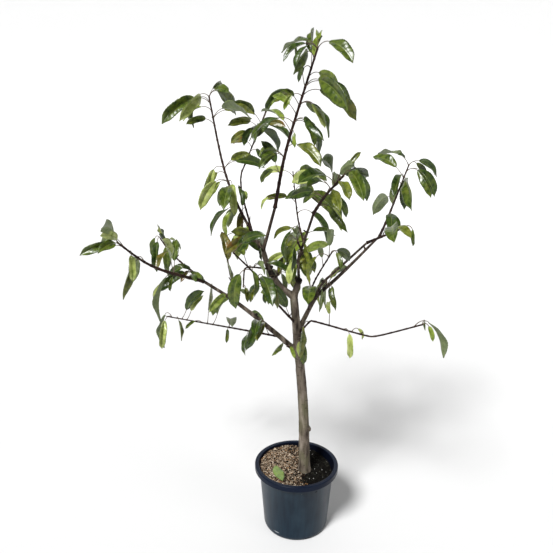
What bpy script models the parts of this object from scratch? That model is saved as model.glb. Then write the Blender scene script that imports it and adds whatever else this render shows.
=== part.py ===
# A young sweet cherry tree in a round nursery pot, at its real size.
# Metres, +Z up. The origin is the centre of the pot's flat underside, +X is to the right
# of the tree's best side and -Y points at whoever looks at that side.
# A bearing is read like a compass: 0 is away (+Y), 90 right (+X), 180 near, 270 left.
# A rise is an angle above level. Both are in degrees.
import math
import random
import re

import bmesh
import bpy
import numpy as np
from mathutils import Vector
from mathutils.bvhtree import BVHTree

# Clear gap kept between pieces that touch
GAP = 0.0003

# Pot: a thin plastic container of about ten litres with a turned-down rim
POT_HEIGHT = 0.226
POT_SIDES = 40
WALL = 0.0022
RIM_RADIUS = 0.140
RIM_WIDTH = 0.0135
RIM_DROP = 0.017
RIM_EDGE = 0.0015
BODY_TOP_RADIUS = 0.1235
BODY_LOW_RADIUS = 0.1085
FLAT_RADIUS = 0.098
CORNER_HEIGHT = 0.018
CORNER_STEPS = 3
DRAIN_SLOTS = 6
DRAIN_FIRST_BEARING = 215
DRAIN_HEIGHT = 0.006
DRAIN_SIZE = (0.026, 0.009, 0.0055)

# Soil: bark chips and potting soil, heaped up against the rim at the back left
SOIL_LEVEL = 0.2035
SOIL_HEAP = 0.016
SOIL_HEAP_BEARING = 318
SOIL_LUMP = 0.0020
SOIL_LUMP_WAVES = (61, 53, 97)
SOIL_FLAT_RADIUS = 0.034
SOIL_RINGS = (1.0, 0.7, 0.35, 0.0)
SOIL_SIDE_GAP = 0.0008

# Fallen leaf: shed onto the soil at the left front
FALLEN_MIDDLE = (-0.0575, -0.053)
FALLEN_BEARING = 160
FALLEN_LENGTH = 0.085
FALLEN_WIDTHS = (0.05, 0.34, 0.42, 0.31, 0.04)
FALLEN_THICKNESS_SHARE = 1 / 60

# Trunk: its foot is a flat cut that stands on the soil, and it swells a little below the fork
FOOT = (0.027, -0.010, SOIL_LEVEL + GAP)
FLARE = 0.005
FLARE_REACH = 0.022
FLARE_RINGS = (0.012, 0.03, 0.06)
SWELLING = 0.0017
SWELLING_AT = 0.45
SWELLING_REACH = 0.035
SWELLING_RINGS = (SWELLING_AT - 0.04, SWELLING_AT, SWELLING_AT + 0.04)

# Limbs that leave their parent closer together than this are cut clear of each other
CROWDED = 0.02

# Leaf: a long folded oval on a thin stalk that rises first and then tips over
BLADE_LENGTH = {"a": 0.045, "b": 0.075, "c": 0.105, "d": 0.140}
BLADE_MIDDLE_RISE = (48, 18, -10, -36, -60, -80)
BLADE_BEND = 44
BLADE_WIDTH_SHARE = 0.42
BLADE_THICKNESS_SHARE = 1 / 50
BLADE_TURN = 30
BLADE_STATIONS = ((0.0, 0.16), (0.28, 0.88), (0.64, 0.93))
STALK_START_RISE = 55
STALK_BASE = 0.018
STALK_SHARE = 0.27
STALK_RADIUS = 0.0011
STALK_STEPS = 3
BLADE_STEPS = 4
LEAF_CHANCES = {"bearing": (-5, 5), "droop": (-4, 4), "size": (0.95, 1.06), "roll": (-8, 8),
                "fold": (28, 60)}

# Buds stand at even steps along a shoot, the last one just inside its tip, and some of those
# that are bare carry a short spur
BUD_INSET = 0.001
SPUR_CHANCE = 0.14
SPUR_LENGTH = (0.007, 0.014)
SPUR_RISE = (15, 50)
SPUR_BEND_AT = 0.6
SPUR_BEND = 15
SPUR_RADII = (0.0017, 0.0015, 0.0008)

# Merge distances for the slivers that a Boolean leaves, tried in turn
WELDS = (2e-6, 1e-6, 3e-7, 1e-7, 1e-8)

# Ways to split faces into triangles, tried in turn: two faces may be split along one same line
TRIANGLE_WAYS = (("BEAUTY", "BEAUTY"), ("BEAUTY", "EAR_CLIP"), ("SHORT_EDGE", "BEAUTY"),
                 ("LONG_EDGE", "BEAUTY"), ("LONG_EDGE", "EAR_CLIP"))

# No limb runs along this direction, so it can start a limb's side vectors
ASIDE = (0.31, 0.95, 0.12)

# Edges sharper than this, in degrees, stay sharp in the shading
SHARP_EDGE = 35

COMPASS = ("n", "nne", "ne", "ene", "e", "ese", "se", "sse",
           "s", "ssw", "sw", "wsw", "w", "wnw", "nw", "nnw")

# Finish: base colour, roughness
FINISHES = {
    "pot_plastic": ((0.021, 0.027, 0.038), 0.55),
    "soil_bark": ((0.090, 0.058, 0.038), 0.95),
    "grey_bark": ((0.165, 0.135, 0.110), 0.85),
    "leaf_green": ((0.075, 0.125, 0.028), 0.60),
}


def heading(bearing, rise):
    """Unit vector for a compass bearing and a rise above level."""
    b, r = math.radians(bearing), math.radians(rise)
    return np.array([math.sin(b) * math.cos(r), math.cos(b) * math.cos(r), math.sin(r)])


def course(start, runs, rounds=2):
    """Line through straight runs of (length, bearing, rise), its bends rounded by cutting corners."""
    line = [np.array(start, float)]
    for length, bearing, rise in runs:
        line.append(line[-1] + length * heading(bearing, rise))
    for _ in range(rounds):
        cut = [line[0]]
        for i in range(len(line) - 1):
            if i > 0:
                cut.append(0.75 * line[i] + 0.25 * line[i + 1])
            if i < len(line) - 2:
                cut.append(0.25 * line[i] + 0.75 * line[i + 1])
        line = cut + [line[-1]]
    return np.array(line)


def distances(line):
    """Distance of each point of a line from its start, measured along it."""
    steps = np.linalg.norm(np.diff(line, axis=0), axis=1)
    return np.concatenate([[0.0], np.cumsum(steps)])


def point_along(line, distance):
    reach = distances(line)
    return np.array([np.interp(distance, reach, line[:, axis]) for axis in range(3)])


class Limb:
    """A tapering limb: a trunk, a bough, or the stem of a mass of leaves."""

    def __init__(self, name, start, runs, widths, sides, leaves=None):
        self.name = name
        self.line = course(start, runs)
        self.length = distances(self.line)[-1]
        self.foot_radius, self.tip_radius = widths[0] / 2000, widths[1] / 2000
        self.sides = sides
        self.leaves = leaves

    def radius(self, distance):
        share = distance / self.length
        return self.foot_radius + (self.tip_radius - self.foot_radius) * share


LIMBS = {}


def limb(name, parent, at, runs, widths, sides=6, leaves=None):
    """Grow a limb from its parent, at metres along it; widths are its foot and tip in millimetres."""
    start = point_along(LIMBS[parent].line, at)
    LIMBS[name] = Limb(name, start, runs, widths, sides, leaves)
    LIMBS[name].parent = parent


TIP = 9.0  # further along than any parent reaches, so the limb starts at the parent's tip

LIMBS["trunk"] = Limb("trunk", FOOT, [(0.230, 310, 88), (0.235, 276, 84), (0.145, 278, 84)], (38, 25), 12)

limb("left_leader", "trunk", TIP, [(0.045, 279, 31), (0.070, 278, 54), (0.065, 288, 72)], (20, 16.5), 8)
limb("left_fork", "left_leader", TIP, [(0.075, 309, 48)], (8.4, 7.6))
limb("tall_shoot_foot", "left_leader", TIP, [(0.040, 123, 70), (0.105, 130, 71)], (11.2, 9.2))
limb("right_fork", "trunk", TIP, [(0.055, 111, 73)], (20, 17), 8)
limb("centre_leader", "right_fork", TIP, [(0.090, 187, 68), (0.030, 134, 60), (0.140, 156, 57)], (8.8, 7.8))
limb("left_bough", "trunk", 0.42, [(0.085, 255, 45), (0.180, 256, 42), (0.125, 257, 35)], (18.5, 9), 8)
limb("right_bough", "trunk", 0.49, [(0.095, 52, 57), (0.045, 59, 54), (0.080, 62, 32), (0.205, 62, 39)],
     (16, 7.4), 8)
limb("right_front_bough", "right_bough", 0.12, [(0.075, 154, 57), (0.080, 140, 40), (0.185, 149, 38)],
     (9, 6.6))

# Each plan of leaves is read from a shoot's foot to its tip. A number passes that many bare
# buds, and a word is one leaf: its bearing, its droop from 0 (held up) to 5 (hanging), its
# size from a to d, and how its blade is turned, from 1 (on its left edge) by way of 4 (level)
# to 7 (on its right edge). Words joined by + share one bud.
limb("tall_crown", "tall_shoot_foot", TIP, [(0.160, 138, 76), (0.190, 126, 69), (0.105, 123, 69)], (9, 4),
     leaves="wnw4a6 2 nw3b7+wnw0b6 1 sw2b6+sw3b6+nw2b7 se3c3 1 nw1c4+sse5a2 ne4d2+w3c5+ene4b1+se3c1 "
            "nw1b6 ese4c4+ne3a6+sw1a7+e4b1 ene3d1+w4a7 ssw0b1+se3d1+e3c3 ne3c1 nne0b4+n0c6+nw4a7 "
            "ssw3c7 se3c3+wsw3b5+sw4b4+n1b4+nw2c5")
limb("upper_left_crown", "left_fork", TIP, [(0.085, 305, 52), (0.135, 313, 57), (0.250, 329, 65)], (7.4, 4),
     leaves="s5b3+ssw5c6 nnw0b3 wsw4c4+wsw5b5+nw4b3 2 s3c4+nw4b3 wsw4c7+sse5c3+w4a7 nw4c7 "
            "ene2c2+ese1b1+wsw5b7 5 sw2b7 se2d5+ene2c2 wsw3b5 wsw3d7+ssw3d7 "
            "wsw5c5+nne3d1+se2b2+nne1b1")
limb("kinked_shoot", "left_fork", 0.067, [(0.235, 340, 38), (0.095, 24, 47), (0.195, 29, 54)],
     (5.2, 3.2), 5,
     leaves="3 ssw5b5 2 sse3a4 6 se3b1 e0b1+nw2b6 1 wsw3b6+nne3d1 e3c3+sw2c7+sw4b5+ese2b1+s3c3 "
            "sw1c7+ese0c1 e0b1 ne1c2")
limb("left_fork_spur", "left_leader", 0.175, [(0.045, 201, 36)], (5, 3.6), 5,
     leaves="2 n3c5+nw3c7+sw2c6 sse5a2+ssw2c5+sw1b7")
limb("hooked_twig", "left_leader", 0.117, [(0.110, 219, 15), (0.025, 188, -50), (0.040, 189, -82)],
     (4.5, 2.8), 5,
     leaves="2 sse2b7+e3c3 nw0b6 2 sse4a4")
limb("leader_spur", "left_leader", 0.085, [(0.045, 157, 28)], (4, 3), 5,
     leaves="sw5b6+ne4c1 e0c2+nnw3b3+nne5b4+n4c7 1")
limb("centre_crown", "centre_leader", TIP, [(0.085, 158, 39), (0.125, 157, 30)], (7.6, 3.6),
     leaves="ese4b3+se3c1 wnw2b6 wnw3a7+wsw2b7+ene4b1 nne4c1+sse3b3 nw2c7+sw2b5 "
            "sse3b4+sw2c5+ne2c1+ssw1c7+sse1b7 n3b3 ene0a1+nne2b2+ne4b1+ene4b1+sse3c3")
limb("centre_twig", "centre_leader", 0.145, [(0.130, 350, 23), (0.225, 354, 36)], (4.4, 2.6), 5,
     leaves="ene2b3 n4c7+wnw3b6 sw5c3 2 e4c3 1 wsw2b7 ese3d2 sse2c2 1 se2c3 w2b6+ne2b2 1")
limb("centre_left_spur", "centre_leader", 0.12, [(0.040, 204, 41)], (4.8, 3.6), 5,
     leaves="1 nnw2b1 ssw5b7 sse4b1+ssw2b6 s1b3")
limb("centre_low_spur", "centre_leader", 0.065, [(0.045, 339, 14)], (4.8, 3.6), 5,
     leaves="nne0b4 e1b2+nnw4b7+ssw4b4 nw4b7 wnw3b7 ene4b1+s4b5")
limb("centre_right_spur", "centre_leader", 0.085, [(0.025, 52, 50)], (4.8, 3.8), 5,
     leaves="ese4a2 sse3b4 1")
limb("left_end", "left_bough", TIP, [(0.120, 240, 20), (0.075, 234, 29), (0.100, 227, 42)], (8.4, 4),
     leaves="1 se2a2+sse2a4 wsw5a7+wsw5d4+e3a2 n0b4+s0c7 3 ssw4c7+nw4c2 1 sse5b4+wsw2c7 ssw2b5+ssw1b7 "
            "s1c2+nw3b7")
limb("left_upper_shoot", "left_bough", 0.38, [(0.195, 315, 16), (0.075, 312, 36)], (5.4, 3), 5,
     leaves="1 wsw3c7+w1a7 ssw3a6+wnw3b6 4 nnw4d7+ssw3b4 ssw0a7 nnw1b7+s0a7+nne3b3+sse5b4 s5c4+nw5b7")
limb("left_middle_spur", "left_bough", 0.272, [(0.045, 184, 45)], (5.2, 3.8), 5,
     leaves="2 sw3b7+w4b7 ne3a7+nnw0b2")
limb("upright_shoot", "left_bough", 0.267, [(0.140, 334, 50), (0.110, 345, 56)], (5.2, 3), 5,
     leaves="3 nnw0c4 1 sse1c1+ene0b2 2 e3c1 1")
limb("left_low_spur", "left_bough", 0.145, [(0.055, 200, 23)], (5.2, 3.8), 5,
     leaves="s2c4+ssw3c6 s2c4")
limb("low_left_whip", "left_bough", 0.087, [(0.140, 309, -6), (0.380, 302, -4)], (5.2, 3), 5,
     leaves="1 nw1b6 2 ssw5b3 3 s4a5+n3c4 2 ese0c2 n0c1 wsw3a6 2 e0b1 ese0c2+e0b1 sse4b6 ssw5c6+nw5d5 "
            "1")
limb("diagonal_shoot", "trunk", 0.52,
     [(0.110, 222, 44), (0.100, 215, 48), (0.065, 222, 50), (0.110, 219, 41)], (6, 3), 5,
     leaves="w0c7 3 ssw1b7 1 s2c4 nw4b7+wsw4a6 ese5b1 sse3c4 wsw5c6 sse5b5 2 ese1b2")
limb("right_crown", "right_bough", TIP, [(0.060, 46, 55), (0.210, 39, 55)], (7, 3.2),
     leaves="2 s3c4+se4a2 1 nnw3d2 2 s3d2+nnw5b3 ssw3c4+s5c3+nw1c5 se4c1+e4c2 "
            "sw1a6+ene3c2+ne4c1+nnw2d4")
limb("right_side_shoot", "right_front_bough", TIP, [(0.115, 119, 27)], (6, 3.2), 5,
     leaves="2 s2c3+sse2b3 1 se5a1")
limb("inner_twig", "right_bough", 0.079, [(0.090, 176, 47), (0.080, 175, 46), (0.180, 160, 42)],
     (5, 2.8), 5,
     leaves="4 s2c4+nnw1c4+nnw0c5 5 ssw0a3 1 w5b5+ne3b1+s0b4 sse4a4")
limb("right_low_spur", "right_bough", 0.173, [(0.045, 177, 28)], (5, 3.6), 5,
     leaves="ne1b7+sse4a3+ssw5b7+ene0a3 nnw5b7 n5c7+nnw3a1+sse4b2")
limb("low_right_whip", "trunk", 0.482,
     [(0.080, 135, 49), (0.010, 125, 29), (0.180, 120, -4), (0.030, 121, 7), (0.150, 121, 26)],
     (4.8, 3.2), 5,
     leaves="2 ssw5c7 2 n1b5 1 sse5b3 ne4a1 7 ene4d4 nne4a7+sse4a3")
limb("trunk_front_leaf", "trunk", 0.465, [(0.035, 174, 31)], (4, 3), 5,
     leaves="s5a2+sse5b3")
limb("trunk_side_leaf", "trunk", 0.435, [(0.045, 242, 21)], (3.6, 2.8), 5,
     leaves="1 ssw2b7+sse3a3")

BOUGHS = [name for name, grown in LIMBS.items() if not grown.leaves]
MASSES = [name for name, grown in LIMBS.items() if grown.leaves]


def clear_scene():
    for obj in list(bpy.data.objects):
        bpy.data.objects.remove(obj, do_unlink=True)


def painted(obj, finish):
    """Give a piece its own Principled material."""
    colour, roughness = FINISHES[finish]
    material = bpy.data.materials.new(obj.name + "_" + finish)
    material.use_nodes = True
    shader = material.node_tree.nodes["Principled BSDF"]
    shader.inputs["Base Color"].default_value = (*colour, 1.0)
    shader.inputs["Roughness"].default_value = roughness
    shader.inputs["Metallic"].default_value = 0.0
    obj.data.materials.clear()
    obj.data.materials.append(material)
    obj.data.shade_smooth()
    obj.data.set_sharp_from_angle(angle=math.radians(SHARP_EDGE))


def mesh_object(name, points, faces):
    mesh = bpy.data.meshes.new(name)
    mesh.from_pydata([tuple(p) for p in points], [], faces)
    mesh.update()
    obj = bpy.data.objects.new(name, mesh)
    bpy.context.scene.collection.objects.link(obj)
    return obj


def ring_faces(ring_sizes, closed_foot=True, closed_tip=True):
    """Faces that join rings of points in turn; a ring of one point is a pole."""
    faces = []
    starts = np.concatenate([[0], np.cumsum(ring_sizes)]).astype(int)
    for k in range(len(ring_sizes) - 1):
        near, far = starts[k], starts[k + 1]
        sides = max(ring_sizes[k], ring_sizes[k + 1])
        for i in range(sides):
            j = (i + 1) % sides
            if ring_sizes[k] == 1:
                faces.append((int(near), int(far + j), int(far + i)))
            elif ring_sizes[k + 1] == 1:
                faces.append((int(near + i), int(near + j), int(far)))
            else:
                faces.append((int(near + i), int(near + j), int(far + j), int(far + i)))
    if closed_foot and ring_sizes[0] > 1:
        faces.append(tuple(int(i) for i in reversed(range(ring_sizes[0]))))
    if closed_tip and ring_sizes[-1] > 1:
        faces.append(tuple(int(starts[-2] + i) for i in range(ring_sizes[-1])))
    return faces


def tangents(line):
    ahead = np.gradient(line, axis=0)
    return ahead / np.linalg.norm(ahead, axis=1)[:, None]


def carried_sides(line):
    """A side vector at each point of a line, carried along it without twist."""
    ahead = tangents(line)
    side = np.cross(ahead[0], ASIDE)
    sides = []
    for tangent in ahead:
        side = side - tangent * np.dot(side, tangent)
        side = side / np.linalg.norm(side)
        sides.append(side)
    return ahead, np.array(sides)


def limb_shape(grown, extra=0.0):
    """Points and faces of a limb's tube; extra makes it thicker and longer, as a cutter."""
    line = grown.line.copy()
    reach = distances(line)
    radii = np.array([grown.radius(d) for d in reach]) + extra
    if grown.name == "trunk":
        reach = np.unique(np.concatenate([reach, FLARE_RINGS, SWELLING_RINGS]))
        line = np.array([point_along(line, d) for d in reach])
        radii = np.array([grown.radius(d) for d in reach]) + extra
        radii += FLARE * np.exp(-reach / FLARE_REACH)
        radii += SWELLING * np.exp(-((reach - SWELLING_AT) / SWELLING_REACH) ** 2)
    ahead, sides = carried_sides(line)
    line[0] -= ahead[0] * extra
    line[-1] += ahead[-1] * extra
    points = []
    for centre, tangent, side, radius in zip(line, ahead, sides, radii):
        across = np.cross(tangent, side)
        for i in range(grown.sides):
            turn = 2 * math.pi * i / grown.sides
            points.append(centre + radius * (math.cos(turn) * side + math.sin(turn) * across))
    if grown.name == "trunk":
        for point in points[:grown.sides]:
            point[2] = line[0][2]
    return points, ring_faces([grown.sides] * len(line))


def joined(obj, operation, others=None, collection=None, solver="EXACT"):
    """Apply one Boolean to an object, with another object or a whole collection."""
    modifier = obj.modifiers.new(operation.lower(), "BOOLEAN")
    modifier.operation = operation
    modifier.solver = solver
    if collection:
        modifier.operand_type = "COLLECTION"
        modifier.collection = collection
    else:
        modifier.object = others
    graph = bpy.context.evaluated_depsgraph_get()
    mesh = bpy.data.meshes.new_from_object(obj.evaluated_get(graph))
    obj.modifiers.clear()
    obj.data = mesh


def is_closed(mesh):
    return all(edge.is_manifold for edge in mesh.edges)


def welded(obj):
    """The object's mesh with its tiny edges merged, as far as it stays closed."""
    for distance in WELDS:
        mesh = bmesh.new()
        mesh.from_mesh(obj.data)
        bmesh.ops.remove_doubles(mesh, verts=mesh.verts, dist=distance)
        bmesh.ops.dissolve_degenerate(mesh, edges=mesh.edges, dist=distance / 2)
        loose = [vert for vert in mesh.verts if not vert.link_faces]
        bmesh.ops.delete(mesh, geom=loose, context="VERTS")
        loose = [edge for edge in mesh.edges if edge.is_wire]
        bmesh.ops.delete(mesh, geom=loose, context="EDGES")
        if is_closed(mesh):
            break
    return mesh


def split_to_triangles(obj):
    mesh = bmesh.new()
    mesh.from_mesh(obj.data)
    bmesh.ops.triangulate(mesh, faces=mesh.faces)
    mesh.to_mesh(obj.data)
    mesh.free()


def keep_largest_shell(obj):
    """Weld the mesh, drop loose scraps and the walls of sealed hollows, and say if it is closed."""
    mesh = welded(obj)
    unseen = set(mesh.faces)
    shells = []
    while unseen:
        shell = [unseen.pop()]
        for face in shell:
            for edge in face.edges:
                for other in edge.link_faces:
                    if other in unseen:
                        unseen.remove(other)
                        shell.append(other)
        shells.append(shell)
    for shell in sorted(shells, key=len)[:-1]:
        bmesh.ops.delete(mesh, geom=shell, context="FACES")
    for quads, polygons in TRIANGLE_WAYS:
        cut = mesh.copy()
        bmesh.ops.triangulate(cut, faces=cut.faces, quad_method=quads, ngon_method=polygons)
        closed = is_closed(cut)
        cut.to_mesh(obj.data)
        cut.free()
        if closed:
            break
    mesh.free()
    return closed


def cut_clear(obj, neighbour):
    """Cut a limb back to a clear gap from the limb that it grows on or beside."""
    cutter = mesh_object("cutter", *limb_shape(LIMBS[neighbour], extra=GAP))
    joined(obj, "DIFFERENCE", others=cutter)
    bpy.data.objects.remove(cutter, do_unlink=True)
    keep_largest_shell(obj)


def near_siblings(name):
    """Limbs that start close by on the same parent and are grown before this one."""
    grown = LIMBS[name]
    for other, sibling in LIMBS.items():
        if other == name:
            return
        if other == "trunk" or sibling.parent != grown.parent:
            continue
        if np.linalg.norm(sibling.line[0] - grown.line[0]) < CROWDED:
            yield other


def limb_object(name):
    obj = mesh_object(name, *limb_shape(LIMBS[name]))
    if name != "trunk":
        cut_clear(obj, LIMBS[name].parent)
        for sibling in near_siblings(name):
            cut_clear(obj, sibling)
    return obj


def read_plan(plan):
    """Turn a plan of leaves into one list of words for each bud."""
    buds = []
    for entry in plan.split():
        if entry.isdigit():
            buds.extend([] for _ in range(int(entry)))
        else:
            buds.append(entry.split("+"))
    return buds


def leaf_chances(name, bud, turn):
    """Small seeded differences that belong to one leaf."""
    rule = random.Random(f"{name} {bud} {turn}")
    return {what: rule.uniform(*ends) for what, ends in LEAF_CHANCES.items()}


def leaf_rings(root, word, chance, extra=0.0):
    """Rings of four points along one leaf: its stalk, then its folded blade, then its tip."""
    point, droop, size, turned_by = re.fullmatch(r"([nesw]+)(\d)([a-d])(\d)", word).groups()
    bearing = COMPASS.index(point) * 22.5 + chance["bearing"]
    middle = BLADE_MIDDLE_RISE[int(droop)] + chance["droop"]
    blade = BLADE_LENGTH[size] * chance["size"]
    stalk = STALK_BASE + STALK_SHARE * blade
    first_rise, last_rise = middle + BLADE_BEND / 2, middle - BLADE_BEND / 2
    line = [np.array(root, float)]
    for i in range(STALK_STEPS):
        share = (i + 0.5) / STALK_STEPS
        rise = STALK_START_RISE * (1 - share) + first_rise * share
        line.append(line[-1] + stalk / STALK_STEPS * heading(bearing, rise))
    for i in range(BLADE_STEPS):
        share = (i + 0.5) / BLADE_STEPS
        rise = first_rise + (last_rise - first_rise) * share
        line.append(line[-1] + blade / BLADE_STEPS * heading(bearing, rise))
    line = np.array(line)
    reach = distances(line)
    ahead = tangents(line)
    level = np.array(heading(bearing + 90, 0))

    def station(distance, half_width, half_thickness, fold):
        centre = point_along(line, distance)
        tangent = np.array([np.interp(distance, reach, ahead[:, axis]) for axis in range(3)])
        tangent = tangent / np.linalg.norm(tangent)
        upward = np.cross(level, tangent)
        roll = math.radians((int(turned_by) - 4) * BLADE_TURN + chance["roll"])
        side = math.cos(roll) * level + math.sin(roll) * upward
        normal = math.cos(roll) * upward - math.sin(roll) * level
        out = half_width * math.cos(fold) * side
        lift = half_width * math.sin(fold) * normal
        thick = half_thickness * normal
        return [centre - out + lift, centre + thick, centre + out + lift, centre - thick]

    fold = math.radians(chance["fold"])
    half_blade = BLADE_WIDTH_SHARE / 2 * blade + extra
    half_thickness = BLADE_THICKNESS_SHARE / 2 * blade + extra
    stalk_radius = STALK_RADIUS + extra
    rings = [station(0.0, stalk_radius, stalk_radius, 0.0)]
    for share, width in BLADE_STATIONS:
        rings.append(station(stalk + blade * share, half_blade * width, half_thickness, fold))
    return rings, line[-1]


def strip_mesh(rings, tip):
    points = [point for ring in rings for point in ring] + [tip]
    return points, ring_faces([4] * len(rings) + [1])


def spur_mesh(root, bearing, rise, length, extra=0.0):
    """A short twig stub, tapering from its root to a blunt bud."""
    middle = root + length * SPUR_BEND_AT * heading(bearing, rise)
    line = np.array([root, middle, root + length * heading(bearing, rise + SPUR_BEND)])
    ahead, sides = carried_sides(line)
    points = []
    for centre, tangent, side, radius in zip(line, ahead, sides, SPUR_RADII):
        across = np.cross(tangent, side)
        points.extend(centre + (radius + extra) * out for out in (side, across, -side, -across))
    return points, ring_faces([4, 4, 4])


def tree_of(points, faces):
    return BVHTree.FromPolygons([Vector(p) for p in points], faces, epsilon=0.0)


def grow_parts(name, space):
    """Twigs and leaves of one mass, by its plan and its seed; what would touch is skipped."""
    grown = LIMBS[name]
    buds = read_plan(grown.leaves)
    own = []
    parts = []
    own_stem = space["limbs"][name]
    others = [tree for limb_name, tree in space["limbs"].items() if limb_name != name]
    for k, words in enumerate(buds):
        root = point_along(grown.line, grown.length * (k + 1) / len(buds) - BUD_INSET)
        for turn, word in enumerate(words):
            chance = leaf_chances(name, k, turn)
            rings, tip = leaf_rings(root, word, chance, extra=GAP)
            whole = tree_of(*strip_mesh(rings, tip))
            blade = tree_of(*strip_mesh(rings[1:], tip))
            touching = any(whole.overlap(tree) for tree in others + space["leaves"])
            touching = touching or blade.overlap(own_stem) or any(blade.overlap(tree) for tree in own)
            if not touching:
                own.append(blade)
                parts.append(strip_mesh(*leaf_rings(root, word, chance)))
                space["new"].append(whole)
            else:
                space["skipped"].append((name, k, word))
        rule = random.Random(f"{name} {k} spur")
        if not words and rule.random() < SPUR_CHANCE:
            spur = (root, rule.uniform(0, 360), rule.uniform(*SPUR_RISE), rule.uniform(*SPUR_LENGTH))
            whole = tree_of(*spur_mesh(*spur, extra=2 * GAP))
            if not any(whole.overlap(tree) for tree in others + space["leaves"] + own):
                parts.append(spur_mesh(*spur))
                space["new"].append(whole)
    space["leaves"].extend(space["new"])
    space["new"] = []
    return parts


def mass_object(name, space):
    """One mass: its stem, with every twig and leaf fused on by a single union."""
    stem = limb_object(name)
    group = bpy.data.collections.new("parts of " + name)
    bpy.context.scene.collection.children.link(group)
    pieces = []
    for points, faces in grow_parts(name, space):
        piece = mesh_object("part of " + name, points, faces)
        split_to_triangles(piece)
        bpy.context.scene.collection.objects.unlink(piece)
        group.objects.link(piece)
        pieces.append(piece)
    bpy.context.view_layer.update()
    bare_stem = stem.data
    for solver in ("EXACT", "MANIFOLD"):
        # The second solver is for a mass that the first leaves open
        stem.data = bare_stem
        joined(stem, "UNION", collection=group, solver=solver)
        if keep_largest_shell(stem):
            break
    for piece in pieces:
        bpy.data.objects.remove(piece, do_unlink=True)
    bpy.data.collections.remove(group)
    return stem


def turned(name, profile):
    """Body of revolution from (radius, height) pairs that run from one pole to the other."""
    points, sizes = [], []
    for radius, height in profile:
        if radius == 0:
            points.append((0, 0, height))
            sizes.append(1)
            continue
        for i in range(POT_SIDES):
            turn = 2 * math.pi * i / POT_SIDES
            points.append((radius * math.cos(turn), radius * math.sin(turn), height))
        sizes.append(POT_SIDES)
    return mesh_object(name, points, ring_faces(sizes))


def corner(flat_radius, low_radius, low_height, floor):
    """Rounded lower corner of the pot, from its floor up to its side."""
    for i in range(CORNER_STEPS + 1):
        turn = math.pi / 2 * i / CORNER_STEPS
        yield (flat_radius + (low_radius - flat_radius) * math.sin(turn),
               floor + (low_height - floor) * (1 - math.cos(turn)))


def inner_corner():
    """The same corner on the inside, a wall's thickness in."""
    return corner(FLAT_RADIUS - WALL, BODY_LOW_RADIUS - WALL, CORNER_HEIGHT + WALL, WALL)


def pot_object():
    """A thin container moulded in one piece: body, rounded foot, and a rim turned out and down."""
    under_rim = POT_HEIGHT - WALL
    skirt = POT_HEIGHT - RIM_DROP
    mouth = RIM_RADIUS - RIM_WIDTH
    profile = [(0, 0)]
    profile += corner(FLAT_RADIUS, BODY_LOW_RADIUS, CORNER_HEIGHT, 0)
    profile += [(BODY_TOP_RADIUS, skirt), (mouth + WALL, under_rim)]
    profile += [(RIM_RADIUS - WALL, under_rim), (RIM_RADIUS - WALL, skirt), (RIM_RADIUS, skirt)]
    profile += [(RIM_RADIUS, POT_HEIGHT - RIM_EDGE), (RIM_RADIUS - RIM_EDGE, POT_HEIGHT)]
    profile += [(mouth, POT_HEIGHT), (BODY_TOP_RADIUS - WALL, skirt)]
    profile += reversed(list(inner_corner()))
    profile += [(0, WALL)]
    pot = turned("pot", profile)
    flip_outward(pot)
    for k in range(DRAIN_SLOTS):
        bearing = DRAIN_FIRST_BEARING + 360 * k / DRAIN_SLOTS
        middle = (FLAT_RADIUS + DRAIN_HEIGHT) * heading(bearing, 0) + np.array([0, 0, DRAIN_HEIGHT])
        side, out = heading(bearing + 90, 0), heading(bearing, -45)
        upward = np.cross(side, out)
        corners = []
        for a in (-1, 1):
            for b, c in ((-1, -1), (1, -1), (1, 1), (-1, 1)):
                corners.append(middle + a * DRAIN_SIZE[1] * out + b * DRAIN_SIZE[0] / 2 * side
                               + c * DRAIN_SIZE[2] / 2 * upward)
        slot = mesh_object("slot", corners, ring_faces([4, 4]))
        flip_outward(slot)
        joined(pot, "DIFFERENCE", others=slot)
        bpy.data.objects.remove(slot, do_unlink=True)
    keep_largest_shell(pot)
    return pot


def flip_outward(obj):
    mesh = bmesh.new()
    mesh.from_mesh(obj.data)
    bmesh.ops.recalc_face_normals(mesh, faces=mesh.faces)
    mesh.to_mesh(obj.data)
    mesh.free()


def soil_height(x, y, share):
    """Height of the soil's surface; share is 0 round the trunk's foot and 1 at the pot's wall."""
    along_x, along_y, across = SOIL_LUMP_WAVES
    lumps = math.sin(along_x * x + 1.3) * math.cos(along_y * y) + 0.6 * math.sin(across * (x + y))
    up = np.dot((x, y), heading(SOIL_HEAP_BEARING, 0)[:2]) / BODY_TOP_RADIUS
    heap = SOIL_HEAP * up + SOIL_LUMP * lumps
    return SOIL_LEVEL + heap * share * share * (3 - 2 * share)


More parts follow.
